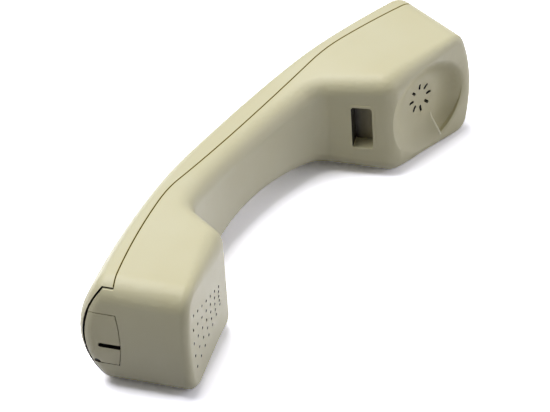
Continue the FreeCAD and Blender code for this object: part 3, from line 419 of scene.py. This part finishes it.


# Rounded ridge along the near edge of the pocket in the ear dish, thick at its foot, where it hooks back,
# in a paler ivory that is a painted highlight
RIDGE_RADIUS = 0.0009
RIDGE_INSET = Vector((0.00038, 0.00050, -0.00042))
RIDGE_ROUTE = [((0.08300, -0.02260, 0.01445), 0.5), ((0.08237, -0.02292, 0.01310), 0.75),
               ((0.08212, -0.02399, 0.01123), 0.95), ((0.08180, -0.02540, 0.00938), 1.0),
               ((0.08152, -0.02667, 0.00773), 1.05), ((0.08132, -0.02752, 0.00642), 1.1),
               ((0.08195, -0.02775, 0.00630), 0.9), ((0.08270, -0.02785, 0.00680), 0.5)]


def pocket_ridge():
    curve = bpy.data.curves.new("pocket_ridge", "CURVE")
    curve.dimensions = "3D"
    curve.bevel_depth = RIDGE_RADIUS
    curve.bevel_resolution = 4
    curve.resolution_u = 8
    curve.use_fill_caps = True
    line = curve.splines.new("NURBS")
    line.points.add(len(RIDGE_ROUTE) - 1)
    for point, (place, thickness) in zip(line.points, RIDGE_ROUTE):
        point.co = (*(Vector(place) + RIDGE_INSET), 1.0)
        point.radius = thickness
    line.order_u = 3
    line.use_endpoint_u = True
    curve.materials.append(ridge_highlight_plastic)
    ridge = bpy.data.objects.new("pocket_ridge", curve)
    bpy.context.scene.collection.objects.link(ridge)
    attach(ridge, BODY_OF["front_shell"])


pocket_ridge()


# Floor, grey to the light it gives back and white to the camera, that keeps the object's soft shadow
FLOOR_REACH = 4.0
FLOOR_WHITE = (2.5, 2.5, 2.7, 1)


def pale_floor():
    shape = bmesh.new()
    bmesh.ops.create_grid(shape, x_segments=1, y_segments=1, size=FLOOR_REACH)
    mesh = bpy.data.meshes.new("floor")
    shape.to_mesh(mesh)
    shape.free()
    floor = bpy.data.objects.new("floor", mesh)
    bpy.context.scene.collection.objects.link(floor)
    finish = Finish("floor_paper")
    colour = finish.between(finish.noise(3, detail=2.0), screen(128, 128, 134), screen(132, 132, 138))
    roughness = finish.between(finish.noise(40, detail=2.0), 0.85, 0.95)
    floor.data.materials.append(finish.dress(colour, roughness))
    tree = finish.tree
    seen = tree.nodes.new("ShaderNodeBsdfDiffuse")
    seen.inputs["Color"].default_value = FLOOR_WHITE
    rays = tree.nodes.new("ShaderNodeLightPath").outputs
    ray = rays["Is Camera Ray"]
    for kind in ("Is Glossy Ray", "Is Transmission Ray"):
        either = tree.nodes.new("ShaderNodeMath")
        either.operation = "MAXIMUM"
        finish.link(ray, either.inputs[0])
        finish.link(rays[kind], either.inputs[1])
        ray = either.outputs[0]
    mixed = tree.nodes.new("ShaderNodeMixShader")
    finish.link(ray, mixed.inputs["Fac"])
    finish.link(finish.shader.outputs[0], mixed.inputs[1])
    finish.link(seen.outputs[0], mixed.inputs[2])
    finish.link(mixed.outputs[0], tree.nodes["Material Output"].inputs["Surface"])


# One large lamp above and a weaker one low in front, both turned to the middle of the handset
LIT_POINT = Vector((0, 0, 0.02))


def soft_light(name, place, width, power, tint=(1, 1, 1)):
    lamp = bpy.data.lights.new(name, "AREA")
    lamp.shape = "RECTANGLE"
    lamp.size = width
    lamp.size_y = width
    lamp.energy = power
    lamp.color = tint
    light = bpy.data.objects.new(name, lamp)
    light.location = place
    light.rotation_euler = (LIT_POINT - Vector(place)).to_track_quat("-Z", "Y").to_euler()
    bpy.context.scene.collection.objects.link(light)


def world_light(level):
    world = bpy.data.worlds.new("studio")
    bpy.context.scene.world = world
    world.use_nodes = True
    background = world.node_tree.nodes["Background"]
    background.inputs["Color"].default_value = (1, 1, 1, 1)
    background.inputs["Strength"].default_value = level


# Camera solved from the photograph, its focal length in pixels of the photograph's width
SENSOR_WIDTH = 36.0
PHOTO_WIDTH = 550
FOCAL_LENGTH = 3734.36561
CAMERA_PLACE = Vector((-0.974581, -0.681141, 0.882576))
CAMERA_TURN = Matrix(((0.53918465, 0.52097915, -0.66171039),
                      (-0.84049093, 0.28302111, -0.46203251),
                      (-0.05343129, 0.80528242, 0.59047889)))


def photo_camera():
    lens = bpy.data.cameras.new("camera")
    lens.sensor_width = SENSOR_WIDTH
    lens.lens = FOCAL_LENGTH / PHOTO_WIDTH * SENSOR_WIDTH
    lens.clip_end = 20
    camera = bpy.data.objects.new("camera", lens)
    camera.matrix_world = Matrix.Translation(CAMERA_PLACE) @ CAMERA_TURN.to_4x4()
    bpy.context.scene.collection.objects.link(camera)
    bpy.context.scene.camera = camera


pale_floor()
world_light(0.11)
soft_light("key", (0.00, 0.40, 1.14), width=1.0, power=15.2)
soft_light("front", (0.60, -1.00, 0.34), width=0.9, power=4.9, tint=(1.0, 1.0, 1.08))
photo_camera()
bpy.context.scene.view_settings.view_transform = "Standard"
